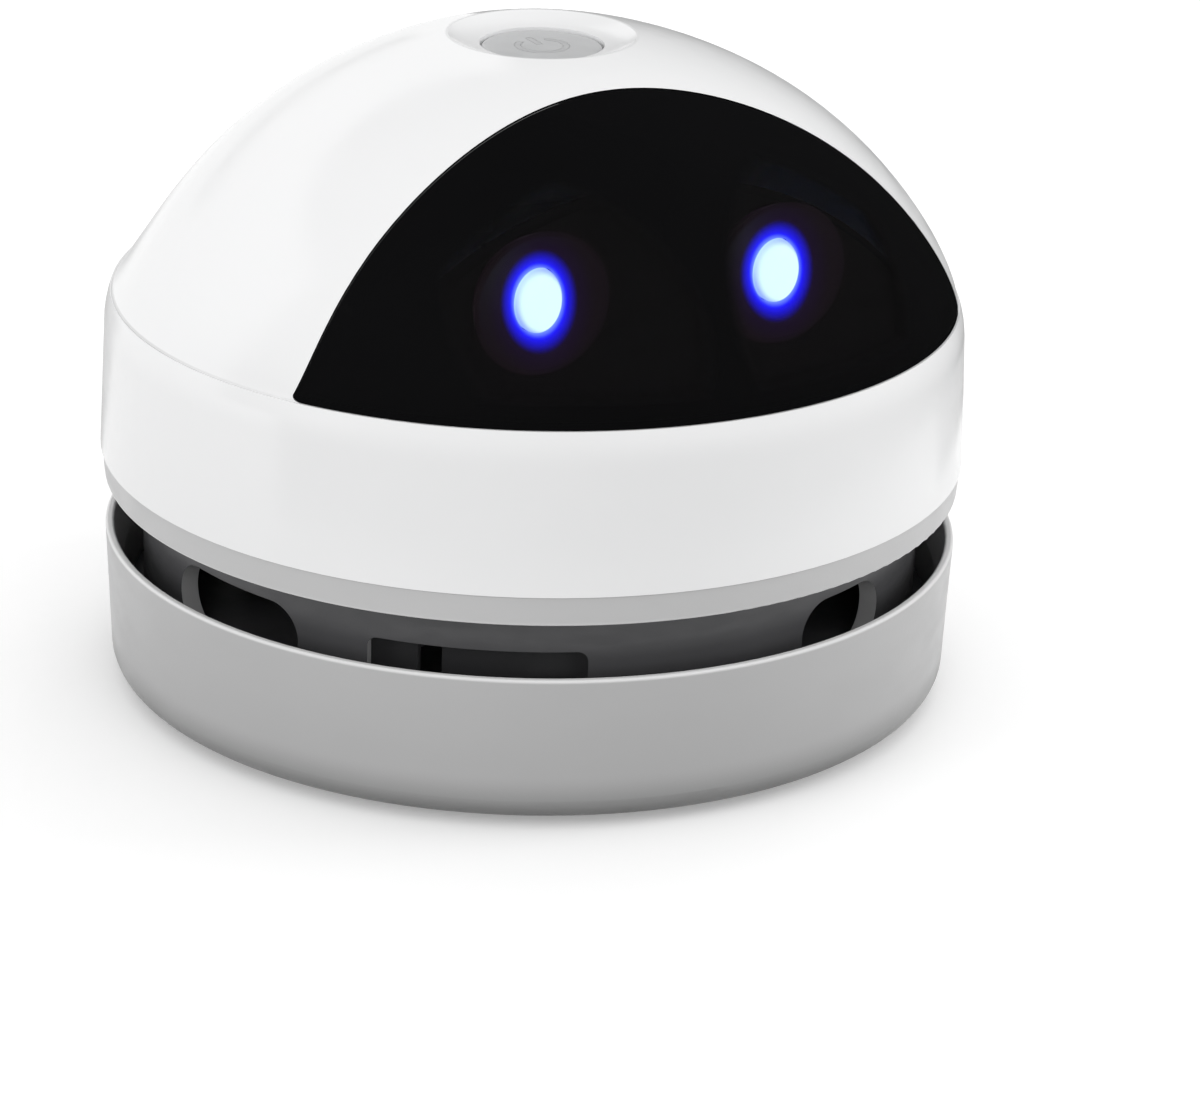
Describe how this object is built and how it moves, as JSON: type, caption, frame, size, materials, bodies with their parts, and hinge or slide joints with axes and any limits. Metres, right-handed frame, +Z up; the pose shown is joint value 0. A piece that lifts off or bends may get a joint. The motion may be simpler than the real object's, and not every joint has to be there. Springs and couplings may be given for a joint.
{
  "type": "desktop mini vacuum cleaner",
  "caption": "Round palm-sized vacuum for crumbs on a desk: domed head with a dark visor and lit oval eyes, push button on top, fan inside, and a twist-off dust cup.",
  "frame": {"origin": "on the floor under the centre of the round body", "axes": "+Z up along the body's axis, the face looks along -Y"},
  "size_m": [0.087, 0.087, 0.066],
  "materials": {
    "white_gloss": "gloss",
    "dark_clear": "polished, see-through",
    "light_grey_satin": "satin",
    "cup_grey": "satin",
    "button_grey": "satin",
    "smoky_plastic": "gloss",
    "dark_plastic": "satin",
    "filter_cloth": "woven",
    "black_rubber": "matte",
    "black_matte": "matte",
    "eye_dish": "satin",
    "eye_glow": "lit",
    "lamp_resin": "clear",
    "circuit_board": "satin",
    "spring_steel": "bright",
    "switch_plastic": "satin",
    "white_matte": "satin",
    "steel_can": "satin",
    "bronze": "satin",
    "cell_sleeve": "gloss",
    "nylon_bristle": "matte",
    "screw_steel": "bright",
    "grey_rubber": "matte"
  },
  "bodies": {
    "cup": {"dust_cup": "cup_grey", "brush_bar_front": "dark_plastic", "brush_bar_rear": "dark_plastic", "bristles_front": "nylon_bristle", "bristles_rear": "nylon_bristle", "foot_front_right": "grey_rubber", "foot_rear_right": "grey_rubber", "foot_rear_left": "grey_rubber", "foot_front_left": "grey_rubber"},
    "filter": {"filter_frame": "dark_plastic", "filter_mesh": "filter_cloth", "filter_seal": "black_rubber"},
    "head": {"head_shell": "white_gloss", "visor": "dark_clear", "eye_mask": "black_matte", "led_board": "circuit_board", "button_spring": "spring_steel", "push_switch": "black_matte", "switch_board": "circuit_board", "switch_bracket": "white_matte", "switch_screws": "screw_steel", "chassis": "light_grey_satin", "motor_can": "steel_can", "motor_cap": "switch_plastic", "motor_bush_lower": "bronze", "motor_bush_upper": "bronze", "motor_clamp": "white_matte", "motor_clamp_screws": "screw_steel", "battery_cell": "cell_sleeve", "control_board": "circuit_board", "control_board_screws": "screw_steel", "usb_socket": "steel_can", "eye_mask_screws": "screw_steel", "shell_screws": "screw_steel", "fan_housing": "smoky_plastic", "fan_housing_screws": "screw_steel", "eye_lens_left": "eye_glow", "eye_lens_right": "eye_glow", "eye_cup_left": "eye_dish", "eye_cup_right": "eye_dish", "eye_lamp_left": "lamp_resin", "eye_lamp_right": "lamp_resin"},
    "button": {"power_button": "button_grey", "switch_plunger": "switch_plastic"},
    "fan": {"motor_shaft": "spring_steel", "impeller": "dark_plastic"}
  },
  "joints": [
    {"name": "head_lift", "type": "slide", "parent": "cup", "child": "filter", "axis": [0, 0, 1], "range_m": [0, 0.03]},
    {"name": "head_twist", "type": "hinge", "parent": "filter", "child": "head", "pos_m": [0, 0, 0.0081], "axis": [0, 0, 1], "range_deg": [0, 22]},
    {"name": "button_press", "type": "slide", "parent": "head", "child": "button", "axis": [0, 0, -1], "range_m": [0, 0.0015], "stiffness_N_per_m": 400, "springref_m": -0.002, "deforming": ["button_spring"]},
    {"name": "fan_spin", "type": "hinge", "parent": "head", "child": "fan", "pos_m": [0, 0, 0.0155], "axis": [0, 0, 1], "continuous": true}
  ]
}
